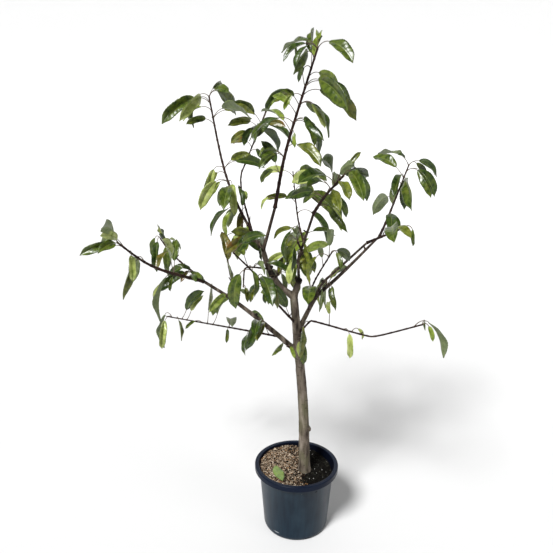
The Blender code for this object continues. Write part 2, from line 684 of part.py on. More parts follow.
def soil_object():
    """The filling: it follows the pot's inside and is flat where the trunk stands."""
    lean = (BODY_TOP_RADIUS - BODY_LOW_RADIUS) / (POT_HEIGHT - RIM_DROP - CORNER_HEIGHT - WALL)
    top_radius = BODY_LOW_RADIUS - WALL + lean * (SOIL_LEVEL - SOIL_HEAP - CORNER_HEIGHT - WALL)
    top_radius -= SOIL_SIDE_GAP
    points, sizes = [(0, 0, WALL + GAP)], [1]
    rings = [(radius - 2 * GAP, height + GAP) for radius, height in inner_corner()]
    for radius, height in rings:
        for i in range(POT_SIDES):
            turn = 2 * math.pi * i / POT_SIDES
            points.append((radius * math.cos(turn), radius * math.sin(turn), height))
        sizes.append(POT_SIDES)
    for share in SOIL_RINGS:
        for i in range(POT_SIDES):
            turn = 2 * math.pi * i / POT_SIDES
            radius = SOIL_FLAT_RADIUS + (top_radius - SOIL_FLAT_RADIUS) * share
            x = FOOT[0] * (1 - share) + radius * math.cos(turn)
            y = FOOT[1] * (1 - share) + radius * math.sin(turn)
            points.append((x, y, soil_height(x, y, share)))
        sizes.append(POT_SIDES)
    points.append((FOOT[0], FOOT[1], SOIL_LEVEL))
    sizes.append(1)
    soil = mesh_object("soil", points, ring_faces(sizes))
    flip_outward(soil)
    return soil


def fallen_leaf_object(soil):
    """One shed leaf that lies on the soil near the front of the pot."""
    surface = tree_of([v.co for v in soil.data.vertices], [tuple(p.vertices) for p in soil.data.polygons])
    ahead, side = np.array(heading(FALLEN_BEARING, 0)), np.array(heading(FALLEN_BEARING + 90, 0))
    shares = np.linspace(0, 1, len(FALLEN_WIDTHS))
    rows, ground = [], []
    for share, width in zip(shares, FALLEN_WIDTHS):
        centre = np.array([*FALLEN_MIDDLE, 0.0]) + FALLEN_LENGTH * (share - 0.5) * ahead
        row = [centre + FALLEN_LENGTH * width / 2 * offset * side for offset in (-1, 0, 1)]
        rows.append(row)
        hits = [surface.ray_cast(Vector((x, y, POT_HEIGHT)), Vector((0, 0, -1)))[0].z for x, y, _ in row]
        ground.append(max(hits))
    bed = ground[0] + (ground[-1] - ground[0]) * shares
    bed += max(ground - bed) + GAP
    points = []
    for row, height in zip(rows, bed):
        points += [(x, y, height) for x, y, _ in row]
        points += [(x, y, height + FALLEN_LENGTH * FALLEN_THICKNESS_SHARE) for x, y, _ in reversed(row)]
    leaf = mesh_object("fallen_leaf", points, ring_faces([6] * len(rows)))
    flip_outward(leaf)
    return leaf


clear_scene()
painted(pot_object(), "pot_plastic")
soil = soil_object()
painted(soil, "soil_bark")
painted(fallen_leaf_object(soil), "leaf_green")
for name in BOUGHS:
    painted(limb_object(name), "grey_bark")
space = {"limbs": {name: tree_of(*limb_shape(LIMBS[name], extra=GAP)) for name in LIMBS},
         "leaves": [], "new": [], "skipped": []}
for name in MASSES:
    painted(mass_object(name, space), "leaf_green")
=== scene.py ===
# A young cherry tree in a nursery pot: the looks of every surface, in metres, +Z up.
# A bearing is a compass angle: 0 is away (+Y), 90 right (+X), 180 near, 270 left.
import math
import random
import re

import bmesh
import bpy
import numpy as np
from mathutils import Matrix, Vector, noise
from mathutils.kdtree import KDTree


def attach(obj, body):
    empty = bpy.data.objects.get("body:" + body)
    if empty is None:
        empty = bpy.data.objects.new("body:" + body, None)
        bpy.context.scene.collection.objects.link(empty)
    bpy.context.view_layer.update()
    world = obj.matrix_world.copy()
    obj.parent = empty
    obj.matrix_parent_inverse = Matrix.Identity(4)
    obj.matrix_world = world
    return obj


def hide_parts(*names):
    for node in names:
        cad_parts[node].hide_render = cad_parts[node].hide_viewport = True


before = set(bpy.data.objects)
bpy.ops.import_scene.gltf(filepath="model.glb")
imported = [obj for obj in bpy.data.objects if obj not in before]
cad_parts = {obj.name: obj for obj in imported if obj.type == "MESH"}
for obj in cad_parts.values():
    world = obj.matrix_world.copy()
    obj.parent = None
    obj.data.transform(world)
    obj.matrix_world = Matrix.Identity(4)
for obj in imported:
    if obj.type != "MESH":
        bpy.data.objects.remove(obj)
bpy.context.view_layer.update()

# The camera stands in front of the pot's rim, above the crown's middle, and looks down on it.
# Its place and angles are the photograph's, worked out from the ellipse of the pot's rim.
CAMERA_PLACE = (0.0, -1.6722, 1.3189)
CAMERA_YAW_LEFT, CAMERA_PITCH_DOWN, CAMERA_ROLL = 2.5, 14.85, 0.5
SENSOR_WIDTH = 36.0
FOCAL_PIXELS, FRAME_PIXELS = 560, 553


def camera_axes():
    """The camera's right, up and forward directions."""
    yaw, pitch, roll = (math.radians(a) for a in (CAMERA_YAW_LEFT, CAMERA_PITCH_DOWN, CAMERA_ROLL))
    forward = Vector((-math.sin(yaw) * math.cos(pitch), math.cos(yaw) * math.cos(pitch), -math.sin(pitch)))
    level = Vector((math.cos(yaw), math.sin(yaw), 0))
    above = level.cross(forward)
    right = level * math.cos(roll) + above * math.sin(roll)
    return right, right.cross(forward), forward


camera = bpy.data.objects.new("camera", bpy.data.cameras.new("camera"))
camera.data.sensor_width = SENSOR_WIDTH
camera.data.lens = SENSOR_WIDTH * FOCAL_PIXELS / FRAME_PIXELS
bpy.context.scene.collection.objects.link(camera)
right, above, forward = camera_axes()
camera.matrix_world = Matrix.Translation(CAMERA_PLACE) @ Matrix((right, above, -forward)).transposed().to_4x4()
bpy.context.scene.camera = camera


class Level:
    """A socket of a material, used in Python expressions that add Math nodes."""

    def __init__(self, finish, socket):
        self.finish = finish
        self.socket = socket

    def maths(self, operation, first, second):
        return self.finish.node("Math", {"operation": operation}, {0: first, 1: second})

    def __add__(self, other):
        return self.maths("ADD", self, other)

    def __sub__(self, other):
        return self.maths("SUBTRACT", self, other)

    def __rsub__(self, other):
        return self.maths("SUBTRACT", other, self)

    def __mul__(self, other):
        return self.maths("MULTIPLY", self, other)

    __radd__ = __add__
    __rmul__ = __mul__


class Finish:
    """A material in the making: its constants, and one method that adds any node."""

    def __init__(self, name, **constants):
        self.material = bpy.data.materials.new(name)
        self.material.use_nodes = True
        self.tree = self.material.node_tree
        self.shader = self.tree.nodes["Principled BSDF"]
        for socket, value in constants.items():
            self.shader.inputs[socket.replace("_", " ")].default_value = value

    def node(self, kind, settings, inputs, output=0):
        made = self.tree.nodes.new("ShaderNode" + kind)
        for name, value in settings.items():
            if name == "stops":
                stops = made.color_ramp.elements
                while len(stops) < len(value):
                    stops.new(1.0)
                for stop, (position, colour) in zip(stops, value):
                    stop.position, stop.color = position, (*colour, 1)
            else:
                setattr(made, name, value)
        for socket, value in inputs.items():
            self.feed(made.inputs[socket], value)
        return Level(self, made.outputs[output])

    def feed(self, socket, value):
        if isinstance(value, Level):
            self.tree.links.new(value.socket, socket)
        else:
            socket.default_value = value

    def place(self, stretch=(1, 1, 1)):
        """Object coordinates, stretched."""
        spot = self.node("TexCoord", {}, {}, "Object")
        return self.node("Mapping", {}, {"Vector": spot, "Scale": stretch})

    def noise(self, scale, detail=4, stretch=(1, 1, 1)):
        return self.node("TexNoise", {}, {"Vector": self.place(stretch), "Scale": scale, "Detail": detail})

    def ramp(self, value, low, high):
        return self.node("ValToRGB", {"stops": ((low, (0, 0, 0)), (high, (1, 1, 1)))}, {0: value})

    def shades(self, value, *stops):
        """A run of colours along a value."""
        return self.node("ValToRGB", {"stops": stops}, {0: value})

    def blend(self, share, first, second):
        colours = {0: share, 6: (*first, 1) if isinstance(first, tuple) else first,
                   7: (*second, 1) if isinstance(second, tuple) else second}
        return self.node("Mix", {"data_type": "RGBA"}, colours, 2)

    def bump(self, height, strength, distance):
        normal = self.node("Bump", {}, {"Height": height, "Strength": strength, "Distance": distance})
        self.paint("Normal", normal)

    def paint(self, socket, value):
        self.feed(self.shader.inputs[socket], value)


def finished(name, points, faces, finishes, choice=None, smooth=True):
    """A mesh object with its materials; choice gives each face's material."""
    mesh = bpy.data.meshes.new(name)
    mesh.from_pydata(points, [], faces)
    for finish in finishes:
        mesh.materials.append(finish.material)
    if choice is not None:
        mesh.polygons.foreach_set("material_index", choice)
    if smooth:
        mesh.shade_smooth()
    piece = bpy.data.objects.new(name, mesh)
    bpy.context.scene.collection.objects.link(piece)
    return piece


def evaluated(piece):
    """Turn a piece's modifiers into plain mesh."""
    graph = bpy.context.evaluated_depsgraph_get()
    mesh = bpy.data.meshes.new_from_object(piece.evaluated_get(graph))
    piece.modifiers.clear()
    piece.data = mesh
    return piece


# The floor is one plain pale sheet that sweeps up behind the tree, as in a photographer's
# studio. The light is a dim even surround, one broad lamp from high on the left, and a weak
# one from the right.
FLOOR_HALF_WIDTH = 16.0
SWEEP_START, SWEEP_RADIUS, SWEEP_HEIGHT = 4.5, 2.5, 9.0
floor_paint = Finish("pale_floor", Base_Color=(0.66, 0.66, 0.66, 1), Roughness=1.0, Specular_IOR_Level=0.0)
sweep = [(-FLOOR_HALF_WIDTH, 0.0), (SWEEP_START, 0.0)]
for i in range(1, 13):
    a = math.pi / 2 * i / 12
    sweep.append((SWEEP_START + SWEEP_RADIUS * math.sin(a), SWEEP_RADIUS * (1 - math.cos(a))))
sweep.append((SWEEP_START + SWEEP_RADIUS, SWEEP_HEIGHT))
floor_points = [(x, y, z) for y, z in sweep for x in (-FLOOR_HALF_WIDTH, FLOOR_HALF_WIDTH)]
floor_faces = [(2 * i, 2 * i + 1, 2 * i + 3, 2 * i + 2) for i in range(len(sweep) - 1)]
floor = finished("floor", floor_points, floor_faces, [floor_paint])

SURROUND = 0.22
world = bpy.data.worlds.new("surround")
bpy.context.scene.world = world
world.use_nodes = True
world.node_tree.nodes["Background"].inputs["Color"].default_value = (1, 1, 1, 1)
world.node_tree.nodes["Background"].inputs["Strength"].default_value = SURROUND
bpy.context.scene.view_settings.view_transform = "Standard"

for lamp_name, place, strength, spread in (("key", (-1.5, -2.6, 3.4), 4.6, 16), ("fill", (2.6, -1.6, 1.2), 0.5, 30)):
    lamp = bpy.data.objects.new(lamp_name, bpy.data.lights.new(lamp_name, "SUN"))
    lamp.data.energy = strength
    lamp.data.angle = math.radians(spread)
    lamp.location = place
    lamp.rotation_euler = (-lamp.location).to_track_quat("-Z", "Y").to_euler()
    bpy.context.scene.collection.objects.link(lamp)

# The pot is blown from thin blue-black plastic: a tapering body with a rounded foot, and a
# rim that turns out and down. Fine upright flow lines and a dusty bloom show on its side.
POT_HEIGHT = 0.226
POT_SIDES = 160
WALL = 0.0022
RIM_RADIUS, RIM_WIDTH, RIM_DROP, RIM_EDGE = 0.140, 0.0135, 0.017, 0.0018
BODY_TOP_RADIUS, BODY_LOW_RADIUS, FLAT_RADIUS, CORNER_HEIGHT = 0.1235, 0.1085, 0.098, 0.018
DRAIN_SLOTS, DRAIN_FIRST_BEARING = 6, 215
DRAIN_SIZE = (0.026, 0.009, 0.0055)
GLINT_PLACE = (-0.0250, -0.0360, 0.0600)  # in coordinates squashed like the painted glint


def heading(bearing, rise):
    """Unit vector for a compass bearing and a rise above level."""
    b, r = math.radians(bearing), math.radians(rise)
    return np.array([math.sin(b) * math.cos(r), math.cos(b) * math.cos(r), math.sin(r)])


def quarter_turn(start, end, steps, first_up):
    """Points of a quarter ellipse between two (radius, height) points."""
    for i in range(steps + 1):
        a = math.pi / 2 * i / steps
        across, along = (1 - math.cos(a), math.sin(a)) if first_up else (math.sin(a), 1 - math.cos(a))
        yield start[0] + (end[0] - start[0]) * across, start[1] + (end[1] - start[1]) * along


def turned(name, profile, sides, finishes, choice):
    """A body of revolution whose profile starts and ends on the axis; choice is per profile step."""
    points, faces = [], []
    for radius, height in profile:
        for i in range(sides):
            a = 2 * math.pi * i / sides
            points.append((radius * math.cos(a), radius * math.sin(a), height))
    for k in range(len(profile) - 1):
        for i in range(sides):
            j = (i + 1) % sides
            faces.append((k * sides + i, k * sides + j, (k + 1) * sides + j, (k + 1) * sides + i))
    piece = finished(name, points, faces, finishes, [c for c in choice for i in range(sides)])
    mesh = bmesh.new()
    mesh.from_mesh(piece.data)
    bmesh.ops.remove_doubles(mesh, verts=mesh.verts, dist=1e-6)
    bmesh.ops.recalc_face_normals(mesh, faces=mesh.faces)
    mesh.to_mesh(piece.data)
    mesh.free()
    return piece


skirt = POT_HEIGHT - RIM_DROP
under_rim = POT_HEIGHT - WALL
mouth = RIM_RADIUS - RIM_WIDTH
profile = [(0, 0.0012), (0.07, 0.0012), (0.075, 0), (FLAT_RADIUS, 0)]
profile += quarter_turn((FLAT_RADIUS, 0), (BODY_LOW_RADIUS, CORNER_HEIGHT), 8, False)
profile += [(BODY_TOP_RADIUS - 0.0002, skirt - 0.012), (BODY_TOP_RADIUS + 0.0006, skirt - 0.0105)]
profile += [(BODY_TOP_RADIUS + 0.0006, skirt - 0.009), (BODY_TOP_RADIUS, skirt - 0.0075)]
profile += [(BODY_TOP_RADIUS, skirt), (mouth + WALL, under_rim), (RIM_RADIUS - WALL, under_rim)]
rim_start = len(profile)
profile += [(RIM_RADIUS - WALL, skirt + 0.0005), (RIM_RADIUS - WALL / 2, skirt), (RIM_RADIUS, skirt + 0.0006)]
profile += quarter_turn((RIM_RADIUS, POT_HEIGHT - RIM_EDGE), (RIM_RADIUS - RIM_EDGE, POT_HEIGHT), 4, True)
profile += [(RIM_RADIUS - RIM_WIDTH / 2, POT_HEIGHT - 0.0003)]
profile += quarter_turn((mouth + RIM_EDGE, POT_HEIGHT), (mouth, POT_HEIGHT - RIM_EDGE), 4, False)
inside_start = len(profile)
profile += [(BODY_TOP_RADIUS - WALL, skirt), (BODY_LOW_RADIUS - WALL, CORNER_HEIGHT + WALL)]
profile += [(FLAT_RADIUS - WALL, WALL), (0, WALL + 0.0012)]

plastic = Finish("pot_plastic", Specular_IOR_Level=0.20)
flow = plastic.noise(90, 5, (1, 1, 0.05))
dust = plastic.noise(9, 4)
tone = plastic.blend(plastic.ramp(flow, 0.35, 0.75), (0.001, 0.008, 0.018), (0.006, 0.020, 0.034))
dusty = plastic.blend(plastic.ramp(dust, 0.46, 0.80) * 0.6, tone, (0.022, 0.042, 0.060))
# A small pale streak near the foot, at the front-left drain slot, is a painted glint of light on the slot's edge.
squashed = plastic.place((0.4, 0.4, 3))
from_glint = plastic.node("VectorMath", {"operation": "DISTANCE"}, {0: squashed, 1: GLINT_PLACE}, "Value")
painted_glint = 1 - plastic.ramp(from_glint * 100 + 0.5 * plastic.noise(160, 4), 0.45, 0.85)
plastic.paint("Base Color", plastic.blend(painted_glint * 0.8, dusty, (0.420, 0.440, 0.450)))
plastic.paint("Roughness", 0.27 + 0.20 * dust)
plastic.bump(flow + 0.5 * plastic.noise(420, 3), 0.25, 0.0006)
rim_plastic = Finish("pot_rim", Base_Color=(0.0012, 0.0050, 0.0160, 1), Specular_IOR_Level=0.15)
rim_plastic.paint("Roughness", 0.22 + 0.25 * rim_plastic.noise(40, 4))
rim_plastic.bump(rim_plastic.noise(300, 3), 0.2, 0.0005)
# The pot's inside wall and floor are painted nearly black: painted shade where little light reaches into the pot.
shaded_inner_plastic = Finish("pot_inside_painted_shade", Base_Color=(0.0006, 0.0016, 0.0060, 1), Roughness=0.6, Specular_IOR_Level=0.08)
finish_steps = [0 if k < rim_start - 1 else 1 if k < inside_start - 1 else 2 for k in range(len(profile) - 1)]

pot = turned("pot_shell", profile, POT_SIDES, [plastic, rim_plastic, shaded_inner_plastic], finish_steps)
for k in range(DRAIN_SLOTS):
    bearing = DRAIN_FIRST_BEARING + 360 * k / DRAIN_SLOTS
    middle = (FLAT_RADIUS + 0.006) * heading(bearing, 0) + np.array([0, 0, 0.006])
    side, out = heading(bearing + 90, 0), heading(bearing, -45)
    upward = np.cross(side, out)
    corners = [tuple(middle + a * DRAIN_SIZE[1] * out + b * DRAIN_SIZE[0] / 2 * side + c * DRAIN_SIZE[2] / 2 * upward)
               for a in (-1, 1) for b, c in ((-1, -1), (1, -1), (1, 1), (-1, 1))]
    sides = [(0, 1, 5, 4), (1, 2, 6, 5), (2, 3, 7, 6), (3, 0, 4, 7), (3, 2, 1, 0), (4, 5, 6, 7)]
    cutter = finished("slot_cutter", corners, sides, [])
    mesh = bmesh.new()
    mesh.from_mesh(cutter.data)
    bmesh.ops.recalc_face_normals(mesh, faces=mesh.faces)
    mesh.to_mesh(cutter.data)
    mesh.free()
    cut = pot.modifiers.new("slot", "BOOLEAN")
    cut.operation, cut.object = "DIFFERENCE", cutter
    evaluated(pot)
    bpy.data.objects.remove(cutter, do_unlink=True)
pot.data.set_sharp_from_angle(angle=math.radians(40))
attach(pot, "root")
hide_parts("pot")

# The limbs grow from the soil by the rule that shapes the solid tree: straight runs of
# (length, bearing, rise) with their bends rounded, and a width that tapers to the tip.
SOIL_LEVEL = 0.2035
GAP = 0.0003
FOOT = (0.027, -0.010, SOIL_LEVEL + GAP)
TIP = 9.0  # further along than any parent reaches, so the limb starts at the parent's tip
LIMBS = {}


def course(start, runs, rounds=2):
    line = [np.array(start, float)]
    for length, bearing, rise in runs:
        line.append(line[-1] + length * heading(bearing, rise))
    for _ in range(rounds):
        cut = [line[0]]
        for i in range(len(line) - 1):
            if i > 0:
                cut.append(0.75 * line[i] + 0.25 * line[i + 1])
            if i < len(line) - 2:
                cut.append(0.25 * line[i] + 0.75 * line[i + 1])
        line = cut + [line[-1]]
    return np.array(line)


def distances(line):
    steps = np.linalg.norm(np.diff(line, axis=0), axis=1)
    return np.concatenate([[0.0], np.cumsum(steps)])


def point_along(line, distance):
    reach = distances(line)
    return np.array([np.interp(distance, reach, line[:, axis]) for axis in range(3)])


class Limb:
    """A tapering limb: a trunk, a bough, or the stem of a mass of leaves."""

    def __init__(self, name, start, runs, widths, leaves=None):
        self.name = name
        self.line = course(start, runs)
        self.length = distances(self.line)[-1]
        self.foot_radius, self.tip_radius = widths[0] / 2000, widths[1] / 2000
        self.leaves = leaves

    def radius(self, distance):
        share = distance / self.length
        return self.foot_radius + (self.tip_radius - self.foot_radius) * share


def limb(name, parent, at, runs, widths, leaves=None):
    start = point_along(LIMBS[parent].line, at)
    LIMBS[name] = Limb(name, start, runs, widths, leaves)


LIMBS["trunk"] = Limb("trunk", FOOT, [(0.230, 310, 88), (0.235, 276, 84), (0.145, 278, 84)], (38, 25))

limb("left_leader", "trunk", TIP, [(0.045, 279, 31), (0.070, 278, 54), (0.065, 288, 72)], (20, 16.5))
limb("left_fork", "left_leader", TIP, [(0.075, 309, 48)], (8.4, 7.6))
limb("tall_shoot_foot", "left_leader", TIP, [(0.040, 123, 70), (0.105, 130, 71)], (11.2, 9.2))
limb("right_fork", "trunk", TIP, [(0.055, 111, 73)], (20, 17))
limb("centre_leader", "right_fork", TIP, [(0.090, 187, 68), (0.030, 134, 60), (0.140, 156, 57)], (8.8, 7.8))
limb("left_bough", "trunk", 0.42, [(0.085, 255, 45), (0.180, 256, 42), (0.125, 257, 35)], (18.5, 9))
limb("right_bough", "trunk", 0.49, [(0.095, 52, 57), (0.045, 59, 54), (0.080, 62, 32), (0.205, 62, 39)],
     (16, 7.4))
limb("right_front_bough", "right_bough", 0.12, [(0.075, 154, 57), (0.080, 140, 40), (0.185, 149, 38)],
     (9, 6.6))

# Each plan of leaves is read from a shoot's foot to its tip. A number passes that many bare
# buds, and a word is one leaf: its bearing, its droop from 0 (held up) to 5 (hanging), its
# size from a to d, and how its blade is turned, from 1 (on its left edge) by way of 4 (level)
# to 7 (on its right edge). Words joined by + share one bud.
limb("tall_crown", "tall_shoot_foot", TIP, [(0.160, 138, 76), (0.190, 126, 69), (0.105, 123, 69)], (9, 4),
     leaves="wnw4a6 2 nw3b7+wnw0b6 1 sw2b6+sw3b6+nw2b7 se3c3 1 nw1c4+sse5a2 ne4d2+w3c5+ene4b1+se3c1 "
            "nw1b6 ese4c4+ne3a6+sw1a7+e4b1 ene3d1+w4a7 ssw0b1+se3d1+e3c3 ne3c1 nne0b4+n0c6+nw4a7 "
            "ssw3c7 se3c3+wsw3b5+sw4b4+n1b4+nw2c5")
limb("upper_left_crown", "left_fork", TIP, [(0.085, 305, 52), (0.135, 313, 57), (0.250, 329, 65)], (7.4, 4),
     leaves="s5b3+ssw5c6 nnw0b3 wsw4c4+wsw5b5+nw4b3 2 s3c4+nw4b3 wsw4c7+sse5c3+w4a7 nw4c7 "
            "ene2c2+ese1b1+wsw5b7 5 sw2b7 se2d5+ene2c2 wsw3b5 wsw3d7+ssw3d7 "
            "wsw5c5+nne3d1+se2b2+nne1b1")
limb("kinked_shoot", "left_fork", 0.067, [(0.235, 340, 38), (0.095, 24, 47), (0.195, 29, 54)],
     (5.2, 3.2),
     leaves="3 ssw5b5 2 sse3a4 6 se3b1 e0b1+nw2b6 1 wsw3b6+nne3d1 e3c3+sw2c7+sw4b5+ese2b1+s3c3 "
            "sw1c7+ese0c1 e0b1 ne1c2")
limb("left_fork_spur", "left_leader", 0.175, [(0.045, 201, 36)], (5, 3.6),
     leaves="2 n3c5+nw3c7+sw2c6 sse5a2+ssw2c5+sw1b7")
limb("hooked_twig", "left_leader", 0.117, [(0.110, 219, 15), (0.025, 188, -50), (0.040, 189, -82)],
     (4.5, 2.8),
     leaves="2 sse2b7+e3c3 nw0b6 2 sse4a4")
limb("leader_spur", "left_leader", 0.085, [(0.045, 157, 28)], (4, 3),
     leaves="sw5b6+ne4c1 e0c2+nnw3b3+nne5b4+n4c7 1")
limb("centre_crown", "centre_leader", TIP, [(0.085, 158, 39), (0.125, 157, 30)], (7.6, 3.6),
     leaves="ese4b3+se3c1 wnw2b6 wnw3a7+wsw2b7+ene4b1 nne4c1+sse3b3 nw2c7+sw2b5 "
            "sse3b4+sw2c5+ne2c1+ssw1c7+sse1b7 n3b3 ene0a1+nne2b2+ne4b1+ene4b1+sse3c3")
limb("centre_twig", "centre_leader", 0.145, [(0.130, 350, 23), (0.225, 354, 36)], (4.4, 2.6),
     leaves="ene2b3 n4c7+wnw3b6 sw5c3 2 e4c3 1 wsw2b7 ese3d2 sse2c2 1 se2c3 w2b6+ne2b2 1")
limb("centre_left_spur", "centre_leader", 0.12, [(0.040, 204, 41)], (4.8, 3.6),
     leaves="1 nnw2b1 ssw5b7 sse4b1+ssw2b6 s1b3")
limb("centre_low_spur", "centre_leader", 0.065, [(0.045, 339, 14)], (4.8, 3.6),
     leaves="nne0b4 e1b2+nnw4b7+ssw4b4 nw4b7 wnw3b7 ene4b1+s4b5")
limb("centre_right_spur", "centre_leader", 0.085, [(0.025, 52, 50)], (4.8, 3.8),
     leaves="ese4a2 sse3b4 1")
limb("left_end", "left_bough", TIP, [(0.120, 240, 20), (0.075, 234, 29), (0.100, 227, 42)], (8.4, 4),
     leaves="1 se2a2+sse2a4 wsw5a7+wsw5d4+e3a2 n0b4+s0c7 3 ssw4c7+nw4c2 1 sse5b4+wsw2c7 ssw2b5+ssw1b7 "
            "s1c2+nw3b7")
limb("left_upper_shoot", "left_bough", 0.38, [(0.195, 315, 16), (0.075, 312, 36)], (5.4, 3),
     leaves="1 wsw3c7+w1a7 ssw3a6+wnw3b6 4 nnw4d7+ssw3b4 ssw0a7 nnw1b7+s0a7+nne3b3+sse5b4 s5c4+nw5b7")
limb("left_middle_spur", "left_bough", 0.272, [(0.045, 184, 45)], (5.2, 3.8),
     leaves="2 sw3b7+w4b7 ne3a7+nnw0b2")
limb("upright_shoot", "left_bough", 0.267, [(0.140, 334, 50), (0.110, 345, 56)], (5.2, 3),
     leaves="3 nnw0c4 1 sse1c1+ene0b2 2 e3c1 1")
limb("left_low_spur", "left_bough", 0.145, [(0.055, 200, 23)], (5.2, 3.8),
     leaves="s2c4+ssw3c6 s2c4")
limb("low_left_whip", "left_bough", 0.087, [(0.140, 309, -6), (0.380, 302, -4)], (5.2, 3),
     leaves="1 nw1b6 2 ssw5b3 3 s4a5+n3c4 2 ese0c2 n0c1 wsw3a6 2 e0b1 ese0c2+e0b1 sse4b6 ssw5c6+nw5d5 "
            "1")
limb("diagonal_shoot", "trunk", 0.52,
     [(0.110, 222, 44), (0.100, 215, 48), (0.065, 222, 50), (0.110, 219, 41)], (6, 3),
     leaves="w0c7 3 ssw1b7 1 s2c4 nw4b7+wsw4a6 ese5b1 sse3c4 wsw5c6 sse5b5 2 ese1b2")
limb("right_crown", "right_bough", TIP, [(0.060, 46, 55), (0.210, 39, 55)], (7, 3.2),
     leaves="2 s3c4+se4a2 1 nnw3d2 2 s3d2+nnw5b3 ssw3c4+s5c3+nw1c5 se4c1+e4c2 "
            "sw1a6+ene3c2+ne4c1+nnw2d4")
limb("right_side_shoot", "right_front_bough", TIP, [(0.115, 119, 27)], (6, 3.2),
     leaves="2 s2c3+sse2b3 1 se5a1")
limb("inner_twig", "right_bough", 0.079, [(0.090, 176, 47), (0.080, 175, 46), (0.180, 160, 42)],
     (5, 2.8),
     leaves="4 s2c4+nnw1c4+nnw0c5 5 ssw0a3 1 w5b5+ne3b1+s0b4 sse4a4")
limb("right_low_spur", "right_bough", 0.173, [(0.045, 177, 28)], (5, 3.6),
     leaves="ne1b7+sse4a3+ssw5b7+ene0a3 nnw5b7 n5c7+nnw3a1+sse4b2")
limb("low_right_whip", "trunk", 0.482,
     [(0.080, 135, 49), (0.010, 125, 29), (0.180, 120, -4), (0.030, 121, 7), (0.150, 121, 26)],
     (4.8, 3.2),
     leaves="2 ssw5c7 2 n1b5 1 sse5b3 ne4a1 7 ene4d4 nne4a7+sse4a3")
limb("trunk_front_leaf", "trunk", 0.465, [(0.035, 174, 31)], (4, 3),
     leaves="s5a2+sse5b3")
limb("trunk_side_leaf", "trunk", 0.435, [(0.045, 242, 21)], (3.6, 2.8),
     leaves="1 ssw2b7+sse3a3")

BOUGHS = [name for name, grown in LIMBS.items() if not grown.leaves]
MASSES = [name for name, grown in LIMBS.items() if grown.leaves]

# The trunk and boughs are one living piece: grey-brown young bark with fine cracks along it,
# pores across it, green algae on the shaded side, and the dark scars of pruned shoots. Where
# the leaders and boughs leave the trunk, the forks are darkened with painted shade.
FLARE, FLARE_REACH = 0.005, 0.022
SWELLING, SWELLING_AT, SWELLING_REACH = 0.0017, 0.45, 0.035
BARK_GRAIN = 0.0015
STUBS = (
    # limb, metres along it, bearing, rise, length, radius
    ("trunk", 0.148, 92, 40, 0.0045, 0.0135),
    ("left_leader", 0.096, 200, 30, 0.005, 0.0085), ("left_leader", 0.118, 100, 40, 0.006, 0.0050),
    ("right_fork", 0.052, 150, 45, 0.004, 0.0088), ("right_fork", 0.046, 285, 66, 0.020, 0.0040),
    ("centre_leader", 0.185, 280, 35, 0.010, 0.0026), ("centre_leader", 0.150, 110, 45, 0.007, 0.0028),
    ("left_bough", 0.190, 170, 60, 0.012, 0.0036), ("right_bough", 0.165, 185, 25, 0.006, 0.0060),
    ("right_bough", 0.355, 330, 55, 0.014, 0.0030), ("right_front_bough", 0.085, 300, 45, 0.005, 0.0040),
)


def ringed_tube(line, radii, sides):
    """Points and faces of a tube with round ends closed by flat caps."""
    ahead = np.gradient(line, axis=0)
    ahead = ahead / np.linalg.norm(ahead, axis=1)[:, None]
    side = np.cross(ahead[0], (0.31, 0.95, 0.12))
    points, faces = [], []
    for centre, tangent, radius in zip(line, ahead, radii):
        side = side - tangent * np.dot(side, tangent)
        side = side / np.linalg.norm(side)
        across = np.cross(tangent, side)
        for i in range(sides):
            a = 2 * math.pi * i / sides
            points.append(centre + radius * (math.cos(a) * side + math.sin(a) * across))
    for k in range(len(line) - 1):
        for i in range(sides):
            j = (i + 1) % sides
            faces.append((k * sides + i, k * sides + j, (k + 1) * sides + j, (k + 1) * sides + i))
    faces.append(tuple(reversed(range(sides))))
    faces.append(tuple(range((len(line) - 1) * sides, len(line) * sides)))
    return points, faces


class Heap:
    """Points and faces of many shapes, gathered into one piece."""

    def __init__(self):
        self.points, self.faces, self.choice = [], [], []

    def add(self, points, faces, choice=0):
        start = len(self.points)
        self.points.extend(tuple(map(float, p)) for p in points)
        self.faces.extend(tuple(start + i for i in face) for face in faces)
        self.choice.extend([choice] * len(faces) if isinstance(choice, int) else choice)

    def piece(self, name, finishes):
        return finished(name, self.points, self.faces, finishes, self.choice)


def fine_line(grown, step):
    count = max(3, int(grown.length / step))
    return np.array([point_along(grown.line, grown.length * i / count) for i in range(count + 1)])


wood = Heap()
for name in BOUGHS:
    grown = LIMBS[name]
    line = fine_line(grown, 0.008)
    reach = np.linspace(0, grown.length, len(line))
    radii = np.array([grown.radius(d) for d in reach])
    if name == "trunk":
        radii += FLARE * np.exp(-reach / FLARE_REACH)
        radii += SWELLING * np.exp(-((reach - SWELLING_AT) / SWELLING_REACH) ** 2)
    else:
        radii *= 1 + 0.35 * np.exp(-reach / 0.016)
    wood.add(*ringed_tube(line, radii, 20))
SCARS_AND_FORK_SHADE = []
for parent, at, bearing, rise, length, radius in STUBS:
    root = point_along(LIMBS[parent].line, at)
    reach = LIMBS[parent].radius(at) + length
    line = np.array([root + heading(bearing, rise) * reach * share for share in (0, 0.5, 0.85, 1)])
    wood.add(*ringed_tube(line, np.array([1.3, 1.0, 1.05, 0.8]) * radius, 12))
    if parent != "trunk":
        SCARS_AND_FORK_SHADE.append((line[2], 1.9 * radius + 0.3 * length))
# Painted shade: dark patches in the forks where left_leader, right_fork and right_bough leave the trunk.
SCARS_AND_FORK_SHADE += [(point_along(LIMBS[name].line, 0.004) + np.array([0, 0, 0.009]), 0.013)
          for name in ("left_leader", "right_fork", "right_bough")]

